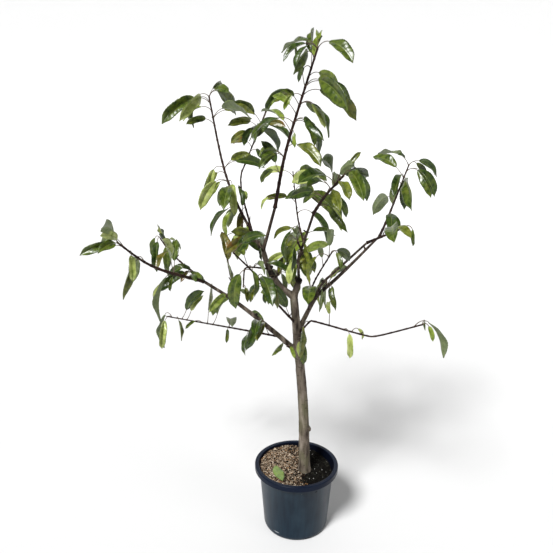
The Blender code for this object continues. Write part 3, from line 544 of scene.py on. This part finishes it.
bark = Finish("tree_bark", Roughness=0.82, Specular_IOR_Level=0.16)
age = bark.node("Attribute", {"attribute_name": "age"}, {}, "Fac")
scar = bark.node("Attribute", {"attribute_name": "scar"}, {}, "Fac")
streaks = bark.noise(75, 7, (1, 1, 0.22))
blotches = bark.noise(26, 5, (1, 1, 0.5))
pores = bark.noise(260, 3, (0.35, 0.35, 1))
old_bark = bark.shades(streaks, (0.32, (0.022, 0.016, 0.012)), (0.46, (0.098, 0.078, 0.060)),
                       (0.58, (0.160, 0.132, 0.105)), (0.72, (0.285, 0.246, 0.202)))
old_bark = bark.blend(bark.ramp(blotches, 0.47, 0.62) * 0.65, old_bark, (0.098, 0.094, 0.050))
young_bark = bark.shades(streaks, (0.34, (0.012, 0.008, 0.006)), (0.54, (0.056, 0.040, 0.030)),
                         (0.74, (0.200, 0.158, 0.122)))
colour = bark.blend(bark.ramp(age, 0.03, 0.80), young_bark, old_bark)
colour = bark.blend(bark.ramp(pores, 0.60, 0.70) * 0.7, colour, (0.024, 0.017, 0.013))
# The bark darkens toward the stubs' cut ends, which are real scars, and in the forks, where it is painted shade.
bark.paint("Base Color", bark.blend(bark.ramp(scar + 0.5 * streaks, 0.55, 0.95) * 0.9, colour, (0.006, 0.004, 0.003)))
bark.bump(streaks + 0.6 * pores, 0.5, 0.0012)

tree = wood.piece("trunk_and_boughs", [bark])
whole = tree.modifiers.new("grown_together", "REMESH")
whole.mode, whole.voxel_size, whole.adaptivity = "VOXEL", BARK_GRAIN, 0.0
soften = tree.modifiers.new("soften", "SMOOTH")
soften.factor, soften.iterations = 0.5, 5
evaluated(tree)
spine = [(point_along(grown.line, d), grown.radius(d)) for grown in (LIMBS[n] for n in BOUGHS)
         for d in np.arange(0, grown.length, 0.006)]
nearest = KDTree(len(spine))
for i, (place, radius) in enumerate(spine):
    nearest.insert(place, i)
nearest.balance()
places = np.empty(len(tree.data.vertices) * 3)
tree.data.vertices.foreach_get("co", places)
outward = np.empty(len(places))
tree.data.vertex_normals.foreach_get("vector", outward)
places, outward = places.reshape(-1, 3), outward.reshape(-1, 3)
dark_spots = KDTree(len(SCARS_AND_FORK_SHADE))
for i, (place, reach) in enumerate(SCARS_AND_FORK_SHADE):
    dark_spots.insert(place, i)
dark_spots.balance()
ages, darkened = [], []
for i, (x, y, z) in enumerate(places):
    radius = spine[nearest.find((x, y, z))[1]][1]
    spot_number, away = dark_spots.find((x, y, z))[1:]
    darkened.append(max(0.0, 1.0 - (away / SCARS_AND_FORK_SHADE[spot_number][1]) ** 2))
    ridges = noise.noise(Vector((x * 210, y * 210, z * 26)))
    rings = noise.noise(Vector((x * 40, y * 40, z * 420)))
    lumps = noise.noise(Vector((x * 55, y * 55, z * 55)))
    places[i] += outward[i] * radius * (0.028 * ridges + 0.016 * rings + 0.05 * lumps)
    ages.append(min(1.0, max(0.0, (radius - 0.004) / 0.010)))
tree.data.vertices.foreach_set("co", places.ravel())
tree.data.update()
tree.data.attributes.new("age", "FLOAT", "POINT").data.foreach_set("value", ages)
tree.data.attributes.new("scar", "FLOAT", "POINT").data.foreach_set("value", darkened)
tree.data.materials.clear()
tree.data.materials.append(bark.material)
tree.data.shade_smooth()
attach(tree, "root")
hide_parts(*BOUGHS)

# The shoots are last summer's wood: thin, reddish brown, a little swollen at each bud, with
# short spurs on some bare buds and a pointed bud above each leaf.
BUD_LENGTH = 0.0062
BARK_SWELL, SWELL_LEAST = 1.12, 0.0004
SPUR_CHANCE = 0.14
SPUR_LENGTH = (0.007, 0.014)
SPUR_RISE = (15, 50)


def read_plan(plan):
    buds = []
    for entry in plan.split():
        if entry.isdigit():
            buds.extend([] for _ in range(int(entry)))
        else:
            buds.append(entry.split("+"))
    return buds


def bud_place(grown, k, count):
    return grown.length * (k + 1) / count - 0.001


def add_bud(heap, root, direction, length, choice):
    """A pointed, scaly bud."""
    shares = (0.0, 0.22, 0.5, 0.8, 1.0)
    line = np.array([root + direction * length * share for share in shares])
    heap.add(*ringed_tube(line, np.array([0.0010, 0.0017, 0.0016, 0.0008, 0.0002]) * length / 0.006, 7), choice)


shoot_bark = Finish("shoot_bark", Roughness=0.6, Specular_IOR_Level=0.18)
grain = shoot_bark.noise(180, 4, (1, 1, 0.3))
patches = shoot_bark.noise(24, 3)
shade = shoot_bark.blend(shoot_bark.ramp(grain, 0.35, 0.7), (0.008, 0.0025, 0.0018), (0.032, 0.012, 0.007))
shade = shoot_bark.blend(shoot_bark.ramp(patches, 0.5, 0.75) * 0.5, shade, (0.060, 0.036, 0.024))
shoot_bark.paint("Base Color", shade)
shoot_bark.bump(grain, 0.3, 0.0005)
bud_scales = Finish("bud_scales", Base_Color=(0.060, 0.026, 0.018, 1), Roughness=0.5)
bud_scales.paint("Base Color", bud_scales.blend(bud_scales.noise(500, 2), (0.014, 0.005, 0.004), (0.048, 0.020, 0.011)))

shoots = Heap()
for name in MASSES:
    grown = LIMBS[name]
    buds = read_plan(grown.leaves)
    places = [bud_place(grown, k, len(buds)) for k in range(len(buds))]
    line = fine_line(grown, 0.0045)
    reach = np.linspace(0, grown.length, len(line))
    radii = BARK_SWELL * np.array([grown.radius(d) for d in reach]) + SWELL_LEAST
    radii += 0.5 * grown.foot_radius * np.exp(-reach / 0.006)
    for d in places:
        radii *= 1 + 0.22 * np.exp(-((reach - d) / 0.0035) ** 2)
    shoots.add(*ringed_tube(line, radii, 9))
    for k, words in enumerate(buds):
        root = point_along(grown.line, places[k])
        ahead = point_along(grown.line, places[k] + 0.001) - point_along(grown.line, places[k] - 0.004)
        ahead = ahead / np.linalg.norm(ahead)
        rule = random.Random(f"{name} {k} spur")
        if not words and rule.random() < SPUR_CHANCE:
            bearing, rise, length = rule.uniform(0, 360), rule.uniform(*SPUR_RISE), rule.uniform(*SPUR_LENGTH)
            middle = root + length * 0.6 * heading(bearing, rise)
            tip = root + length * heading(bearing, rise + 15)
            shoots.add(*ringed_tube(np.array([root, middle, tip]), (0.0020, 0.0016, 0.0014), 7))
            add_bud(shoots, tip, heading(bearing, rise + 20), BUD_LENGTH, 1)
        out = heading(137.5 * k, 20)
        lean = ahead * 0.8 + (out - ahead * np.dot(out, ahead)) * 0.6
        lean = lean / np.linalg.norm(lean)
        add_bud(shoots, root + out * grown.radius(places[k]) * 0.7, lean, BUD_LENGTH * rule.uniform(0.6, 1.0), 1)
shoots = shoots.piece("shoots_and_buds", [shoot_bark, bud_scales])
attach(shoots, "root")
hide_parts(*MASSES)

# The leaves are long ovals with a drawn-out tip and a fine-toothed edge, folded along the
# rib and arched over, dark and slightly glossy above, dull and paler below.
BLADE_LENGTH = {"a": 0.045, "b": 0.075, "c": 0.105, "d": 0.140}
BLADE_MIDDLE_RISE = (48, 18, -10, -36, -60, -80)
BLADE_BEND = 44
BLADE_WIDTH_SHARE = 0.42
BLADE_TURN = 30
STALK_START_RISE = 55
STALK_BASE, STALK_SHARE, STALK_RADIUS = 0.018, 0.27, 0.0012
COMPASS = ("n", "nne", "ne", "ene", "e", "ese", "se", "sse",
           "s", "ssw", "sw", "wsw", "w", "wnw", "nw", "nnw")
STATIONS = 30
COLUMNS = (-1.0, -0.82, -0.62, -0.40, -0.19, -0.035, 0.035, 0.19, 0.40, 0.62, 0.82, 1.0)
VEINS = 9


TINT_SEED = 342


def leaf_chances(name, bud, turn):
    """Small seeded differences that belong to one leaf."""
    rule = random.Random(f"{name} {bud} {turn}")
    chance = {"bearing": rule.uniform(-5, 5), "droop": rule.uniform(-4, 4), "size": rule.uniform(0.95, 1.06),
              "roll": rule.uniform(-8, 8), "fold": rule.uniform(28, 60)}
    chance["wave"], chance["phase"] = rule.uniform(0.03, 0.10), rule.uniform(0, 6.3)
    rule = random.Random(f"{name} {bud} {turn} {TINT_SEED}")
    chance["tint"], chance["rust"] = rule.random(), rule.random()
    return chance


def leaf_course(root, word, chance):
    """Fine centre line of a leaf: where the stalk runs, where the blade runs, and its side vector."""
    point, droop, size, turned_by = re.fullmatch(r"([nesw]+)(\d)([a-d])(\d)", word).groups()
    bearing = COMPASS.index(point) * 22.5 + chance["bearing"]
    middle = BLADE_MIDDLE_RISE[int(droop)] + chance["droop"]
    blade = BLADE_LENGTH[size] * chance["size"]
    stalk = STALK_BASE + STALK_SHARE * blade
    first_rise, last_rise = middle + BLADE_BEND / 2, middle - BLADE_BEND / 2
    stalk_line, blade_line = [np.array(root, float)], []
    steps = 7
    for i in range(steps):
        share = (i + 0.5) / steps
        stalk_line.append(stalk_line[-1] + stalk / steps
                          * heading(bearing, STALK_START_RISE * (1 - share) + first_rise * share))
    blade_line.append(stalk_line[-1])
    rises = [first_rise]
    for i in range(STATIONS):
        share = (i + 0.5) / STATIONS
        rise = first_rise + (last_rise - first_rise) * share
        blade_line.append(blade_line[-1] + blade / STATIONS * heading(bearing, rise))
        rises.append(rise)
    roll = math.radians((int(turned_by) - 4) * BLADE_TURN + chance["roll"])
    return np.array(stalk_line), np.array(blade_line), rises, bearing, roll, blade


def blade_width(u):
    """Half width of the blade, as a share of its greatest, with its drawn-out tip."""
    body = math.sin(math.pi * u ** 0.9) ** 0.68 if 0 < u < 1 else 0.0
    tip = min(1.0, max(0.0, (u - 0.80) / 0.2))
    return max(0.012, body * (1 - 0.50 * tip * tip * (3 - 2 * tip)))


def leaf_blade(blade_line, rises, bearing, roll, blade, chance):
    """Points and faces of one blade as a thin closed body, with each face's material."""
    level = heading(bearing + 90, 0)
    count = len(COLUMNS)
    fold = math.radians(chance["fold"])
    half = BLADE_WIDTH_SHARE / 2 * blade
    thick = 0.00045 * (0.6 + blade / 0.14)
    rings = []
    for i, (centre, rise) in enumerate(zip(blade_line, rises)):
        u = i / STATIONS
        tangent = heading(bearing, rise)
        upward = np.cross(level, tangent)
        side = math.cos(roll) * level + math.sin(roll) * upward
        normal = math.cos(roll) * upward - math.sin(roll) * level
        width = half * blade_width(u)
        tooth = 1 + (0.028 if i % 2 else -0.01) * (0.1 < u < 0.97)
        opened = fold * (0.55 + 0.45 * math.sin(math.pi * min(1, u * 1.1)))
        upper, lower = [], []
        for v in COLUMNS:
            reach = abs(v)
            spread = width * (tooth if reach == 1 else 1)
            out = spread * v * math.cos(opened)
            lift = spread * reach * math.sin(opened) - 0.22 * spread * reach * reach
            lift += half * chance["wave"] * reach * reach * math.sin(14 * u + chance["phase"] + (v > 0) * 2.1)
            quilt = math.cos(2 * math.pi * VEINS * (u - 0.10 * reach))
            lift += 0.0075 * blade * quilt * math.sin(math.pi * min(1, reach)) * math.sin(math.pi * u)
            lift -= 0.004 * blade if reach < 0.05 else 0
            point = centre + out * side + lift * normal
            upper.append(point)
            if reach < 1:
                depth = thick * (2.4 if reach < 0.05 else 1.0)
                lower.append(point - depth * normal)
        rings.append(upper + lower[::-1])
    size = len(rings[0])
    points = [p for ring in rings for p in ring]
    faces, choice = [], []
    for k in range(STATIONS):
        for i in range(size):
            j = (i + 1) % size
            faces.append((k * size + i, k * size + j, (k + 1) * size + j, (k + 1) * size + i))
            rib = i == count // 2 - 1 or i == size - count // 2 + 0
            choice.append(2 if rib else 0 if i < count - 1 else 1)
    faces.append(tuple(reversed(range(size))))
    faces.append(tuple(range(STATIONS * size, (STATIONS + 1) * size)))
    choice += [1, 1]
    return points, faces, choice


def leaf_finish(name, dark, light, blotch, share, roughness):
    """One tint of leaf: mottled between two colours, with broad blotches of a third."""
    finish = Finish(name, Roughness=roughness, Specular_IOR_Level=0.30, Coat_Weight=0.35,
                    Coat_Roughness=0.28)
    mottling = finish.noise(85, 5)
    mottled = finish.blend(finish.ramp(mottling, 0.36, 0.64), dark, light)
    blotches = finish.ramp(finish.noise(34, 3), 0.54, 0.66) * share
    finish.paint("Base Color", finish.blend(blotches, mottled, blotch))
    finish.paint("Roughness", roughness + 0.3 * mottling - 0.15)
    finish.bump(mottling + 0.3 * finish.noise(650, 3), 0.28, 0.0016)
    return finish


# PALE_BLOTCH, on the bright and pale tints, is partly the leaves' own yellowing and partly painted sheen standing in
# for light glancing off the blades.
OLIVE_BLOTCH, RUST_BLOTCH, PALE_BLOTCH = (0.120, 0.130, 0.018), (0.185, 0.078, 0.014), (0.420, 0.460, 0.200)
TINTS = {
    # two mottled greens, the blotches' colour and how strong they are
    "deep": ((0.010, 0.026, 0.0012), (0.044, 0.078, 0.0060), OLIVE_BLOTCH, 0.25),
    "mid": ((0.022, 0.043, 0.0020), (0.088, 0.126, 0.010), OLIVE_BLOTCH, 0.45),
    "olive": ((0.048, 0.066, 0.004), (0.148, 0.170, 0.018), (0.200, 0.190, 0.028), 0.6),
    "bright": ((0.080, 0.122, 0.008), (0.225, 0.290, 0.040), PALE_BLOTCH, 0.40),
    "pale": ((0.200, 0.255, 0.050), (0.410, 0.465, 0.140), PALE_BLOTCH, 0.7),
    "rusty": ((0.058, 0.060, 0.007), (0.150, 0.132, 0.020), RUST_BLOTCH, 0.8),
}
TINT_SHARES = (("deep", 0.37), ("mid", 0.68), ("olive", 0.85), ("bright", 0.965), ("pale", 9.0))

# Whole shoots are darker or paler than the rest of the tree, and on four of them some
# leaves turn rusty.
TINT_LEAN = {"tall_crown": 0.06, "upper_left_crown": 0.05, "left_end": 0.08, "left_middle_spur": 0.20,
             "upright_shoot": 0.20, "right_crown": -0.35, "right_low_spur": 0.30, "low_right_whip": 0.65,
             "trunk_front_leaf": 0.20, "trunk_side_leaf": 0.25, "left_fork_spur": -0.12,
             "left_upper_shoot": -0.10, "left_low_spur": -0.10, "centre_right_spur": -0.30,
             "diagonal_shoot": -0.05, "centre_low_spur": 0.10}
RUSTY_SHARE = {"kinked_shoot": 0.35, "left_upper_shoot": 0.30, "left_fork_spur": 0.30, "upright_shoot": 0.36}

underside = leaf_finish("leaf_underside", (0.095, 0.130, 0.046), (0.170, 0.208, 0.086),
                        OLIVE_BLOTCH, 0.15, 0.6)
rib_green = Finish("leaf_rib", Base_Color=(0.140, 0.175, 0.036, 1), Roughness=0.5)
leaf_heaps = {tint: Heap() for tint in TINTS}
stalks = Heap()
for name in MASSES:
    grown = LIMBS[name]
    buds = read_plan(grown.leaves)
    for k, words in enumerate(buds):
        root = point_along(grown.line, bud_place(grown, k, len(buds)))
        for turn, word in enumerate(words):
            chance = leaf_chances(name, k, turn)
            stalk_line, blade_line, rises, bearing, roll, blade = leaf_course(root, word, chance)
            lean = chance["tint"] + TINT_LEAN.get(name, 0.0)
            tint = next(t for t, share in TINT_SHARES if lean <= share)
            if chance["rust"] < RUSTY_SHARE.get(name, 0.0):
                tint = "rusty"
            leaf_heaps[tint].add(*leaf_blade(blade_line, rises, bearing, roll, blade, chance))
            thickness = STALK_RADIUS * np.array([1.9, 1.2, 1.0, 0.95, 0.9, 0.9, 0.85, 0.8])
            stalks.add(*ringed_tube(stalk_line, thickness, 7))
for tint, heap in leaf_heaps.items():
    upper = leaf_finish("leaf_" + tint, *TINTS[tint], 0.32)
    leaves = heap.piece("leaves_" + tint, [upper, underside, rib_green])
    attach(leaves, "root")
stalk_red = Finish("leaf_stalk", Roughness=0.5)
stalk_red.paint("Base Color", stalk_red.blend(stalk_red.noise(60, 2), (0.070, 0.028, 0.022), (0.090, 0.074, 0.030)))
stalks = stalks.piece("leaf_stalks", [stalk_red])
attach(stalks, "root")

# The soil is damp dark potting mix under a loose layer of bark. On the left it is heaped up
# against the rim in dry pale chips, and on the right it is low and black, with white grains.
SOIL_RADIUS = 0.1205
SOIL_HEAP, SOIL_HEAP_BEARING = 0.016, 318
SOIL_LUMP, FOOT_MOUND = 0.0024, 0.005
SOIL_RINGS, SOIL_SIDES = 40, 130


def soil_height(x, y):
    """Height of the soil: level round the trunk, up to the back left, down to the front right."""
    away = min(1.0, math.hypot(x - FOOT[0], y - FOOT[1]) / (0.8 * SOIL_RADIUS))
    up = np.dot((x, y), heading(SOIL_HEAP_BEARING, 0)[:2]) / SOIL_RADIUS
    lumps = noise.noise(Vector((x * 45, y * 45, 3.1))) + 0.5 * noise.noise(Vector((x * 120, y * 120, 7.7)))
    mound = FOOT_MOUND * math.exp(-((x - FOOT[0] + 0.014) ** 2 + (y - FOOT[1]) ** 2) / 0.024 ** 2)
    return SOIL_LEVEL + mound + (SOIL_HEAP * up + SOIL_LUMP * lumps) * away * away * (3 - 2 * away)


soil_dark = Finish("soil_dark", Roughness=0.95, Specular_IOR_Level=0.06)
crumbs = soil_dark.noise(240, 5)
soil_dark.paint("Base Color", soil_dark.blend(soil_dark.ramp(crumbs, 0.35, 0.7), (0.001, 0.001, 0.001), (0.010, 0.008, 0.006)))
soil_dark.bump(crumbs, 0.8, 0.003)
soil_points = [(FOOT[0], FOOT[1], SOIL_LEVEL)]
for k in range(1, SOIL_RINGS + 1):
    share = k / SOIL_RINGS
    for i in range(SOIL_SIDES):
        a = 2 * math.pi * i / SOIL_SIDES
        x = FOOT[0] * (1 - share) + SOIL_RADIUS * share * math.cos(a)
        y = FOOT[1] * (1 - share) + SOIL_RADIUS * share * math.sin(a)
        soil_points.append((x, y, soil_height(x, y)))
outer = 1 + (SOIL_RINGS - 1) * SOIL_SIDES
soil_points += [(x * 0.87, y * 0.87, 0.02) for x, y, _ in soil_points[outer:]]
soil_faces = [(0, 1 + i, 1 + (i + 1) % SOIL_SIDES) for i in range(SOIL_SIDES)]
for k in range(SOIL_RINGS):
    for i in range(SOIL_SIDES):
        j = (i + 1) % SOIL_SIDES
        near, far = 1 + k * SOIL_SIDES, 1 + (k + 1) * SOIL_SIDES
        soil_faces.append((near + i, far + i, far + j, near + j))
soil_faces.append(tuple(reversed(range(len(soil_points) - SOIL_SIDES, len(soil_points)))))
soil = finished("soil_bed", soil_points, soil_faces, [soil_dark])
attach(soil, "root")
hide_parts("soil")

# The chips, bark flakes and white grains lie on the soil at every angle. One node tree
# scatters each kind over its own part of the surface and gives every piece its own shade.
CHIP_KINDS = (
    # name, pieces per square metre, size, left edge, right edge, seed, shades
    ("pale_chips", 62000, (0.0085, 0.0042, 0.0022), -0.2, 0.018, 3,
     ((0.0, (0.035, 0.022, 0.014)), (0.35, (0.150, 0.106, 0.070)), (0.75, (0.360, 0.285, 0.205)), (1.0, (0.700, 0.610, 0.490)))),
    ("brown_chips", 24000, (0.0080, 0.0040, 0.0024), -0.2, 0.040, 11,
     ((0.0, (0.016, 0.009, 0.005)), (0.5, (0.085, 0.042, 0.020)), (1.0, (0.340, 0.190, 0.085)))),
    ("dark_chips", 42000, (0.0088, 0.0050, 0.0028), -0.02, 0.2, 19,
     ((0.0, (0.001, 0.001, 0.0008)), (0.7, (0.006, 0.0055, 0.0040)), (1.0, (0.036, 0.036, 0.026)))),
    ("white_grains", 1500, (0.0034, 0.0030, 0.0026), 0.03, 0.2, 29,
     ((0.0, (0.300, 0.300, 0.280)), (1.0, (0.720, 0.720, 0.690)))),
)
CHIP_LEAN = 0.55
CHIP_SIZES = (0.5, 1.35)
EDGE_WANDER = 0.05


def chip_tree():
    """Scatters flakes between two upright planes across a surface that faces up."""
    tree = bpy.data.node_groups.new("scattered_chips", "GeometryNodeTree")
    sockets = (("Geometry", "Geometry"), ("Density", "Float"), ("Chip Size", "Vector"), ("Left Edge", "Float"),
               ("Right Edge", "Float"), ("Seed", "Int"), ("Finish", "Material"))
    for label, kind in sockets:
        tree.interface.new_socket(label, in_out="INPUT", socket_type="NodeSocket" + kind)
    tree.interface.new_socket("Geometry", in_out="OUTPUT", socket_type="NodeSocketGeometry")

    def add(kind, settings=(), **inputs):
        made = tree.nodes.new(kind)
        for name, value in dict(settings).items():
            setattr(made, name, value)
        for name, value in inputs.items():
            socket = made.inputs[int(name[1:])] if name[0] == "_" else made.inputs[name]
            if isinstance(value, bpy.types.NodeSocket):
                tree.links.new(value, socket)
            else:
                socket.default_value = value
        return made

    def sum_of(operation, first, second):
        return add("ShaderNodeMath", {"operation": operation}, _0=first, _1=second).outputs[0]

    given = add("NodeGroupInput").outputs
    place = add("GeometryNodeInputPosition").outputs[0]
    across = add("ShaderNodeSeparateXYZ", Vector=place).outputs[0]
    facing = add("ShaderNodeSeparateXYZ", Vector=add("GeometryNodeInputNormal").outputs[0]).outputs[2]
    top = add("GeometryNodeSeparateGeometry", {"domain": "FACE"}, Geometry=given["Geometry"],
              Selection=sum_of("GREATER_THAN", facing, 0.5)).outputs["Selection"]
    wander = sum_of("SUBTRACT", add("ShaderNodeTexNoise", Vector=place, Scale=28.0).outputs[0], 0.5)
    across = sum_of("ADD", across, sum_of("MULTIPLY", wander, EDGE_WANDER * 2))
    inside = sum_of("MULTIPLY", sum_of("GREATER_THAN", across, given["Left Edge"]),
                    sum_of("LESS_THAN", across, given["Right Edge"]))
    density = sum_of("MULTIPLY", inside, given["Density"])
    spots = add("GeometryNodeDistributePointsOnFaces", Mesh=top, Density=density, Seed=given["Seed"])
    flake = add("GeometryNodeMeshIcoSphere", Radius=0.5, Subdivisions=1).outputs["Mesh"]
    flake = add("GeometryNodeTransform", Geometry=flake, Scale=given["Chip Size"]).outputs[0]
    turn = add("FunctionNodeRandomValue", {"data_type": "FLOAT_VECTOR"}, _0=(-CHIP_LEAN, -CHIP_LEAN, 0.0),
               _1=(CHIP_LEAN, CHIP_LEAN, 2 * math.pi), Seed=given["Seed"]).outputs[0]
    size = add("FunctionNodeRandomValue", {"data_type": "FLOAT_VECTOR"}, _0=(CHIP_SIZES[0],) * 3,
               _1=(CHIP_SIZES[1],) * 3, Seed=given["Seed"]).outputs[0]
    laid = add("GeometryNodeInstanceOnPoints", Points=spots.outputs["Points"], Instance=flake,
               Rotation=turn, Scale=size).outputs[0]
    shade = add("FunctionNodeRandomValue", {"data_type": "FLOAT"}, Seed=given["Seed"]).outputs[1]
    laid = add("GeometryNodeStoreNamedAttribute", {"domain": "INSTANCE", "data_type": "FLOAT"}, Geometry=laid,
               Name="shade", Value=shade).outputs[0]
    real = add("GeometryNodeRealizeInstances", Geometry=laid).outputs[0]
    real = add("GeometryNodeSetMaterial", Geometry=real, Material=given["Finish"]).outputs[0]
    add("NodeGroupOutput", Geometry=real)
    return tree


chip_scatter = chip_tree()
for name, density, size, left, right, seed, shades in CHIP_KINDS:
    chip_finish = Finish(name, Roughness=0.85, Specular_IOR_Level=0.10)
    shade = chip_finish.node("Attribute", {"attribute_name": "shade"}, {}, "Fac")
    fibres = chip_finish.noise(700, 3, (1, 0.3, 1))
    chip_finish.paint("Base Color", chip_finish.shades(shade * 0.8 + 0.4 * fibres - 0.1, *shades))
    chip_finish.bump(fibres, 0.4, 0.0006)
    chips = bpy.data.objects.new(name, soil.data.copy())
    bpy.context.scene.collection.objects.link(chips)
    scatter = chips.modifiers.new("scatter", "NODES")
    scatter.node_group = chip_scatter
    values = {"Density": density, "Chip Size": size, "Left Edge": left, "Right Edge": right, "Seed": seed,
              "Finish": chip_finish.material}
    for item in chip_scatter.interface.items_tree:
        if item.in_out == "INPUT" and item.name in values:
            scatter[item.identifier] = values[item.name]
    evaluated(chips)
    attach(chips, "root")

# Fallen leaf: one green leaf was shed onto the soil at the left front and has begun to curl.
chance = {"fold": 14, "wave": 0.10, "phase": 1.0}
fallen_bearing, fallen_length = 160, 0.085
fallen_start = np.array([-0.072, -0.013, SOIL_LEVEL + 0.0150])
fallen_line = [fallen_start + heading(fallen_bearing, 0) * fallen_length * i / STATIONS for i in range(STATIONS + 1)]
fallen = Heap()
fallen.add(*leaf_blade(fallen_line, [0] * (STATIONS + 1), fallen_bearing, 0, fallen_length, chance))
shed_green = leaf_finish("leaf_shed", (0.085, 0.150, 0.028), (0.175, 0.250, 0.058), OLIVE_BLOTCH, 0.3, 0.5)
fallen = fallen.piece("shed_leaf", [shed_green, underside, rib_green])
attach(fallen, "root")
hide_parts("fallen_leaf")
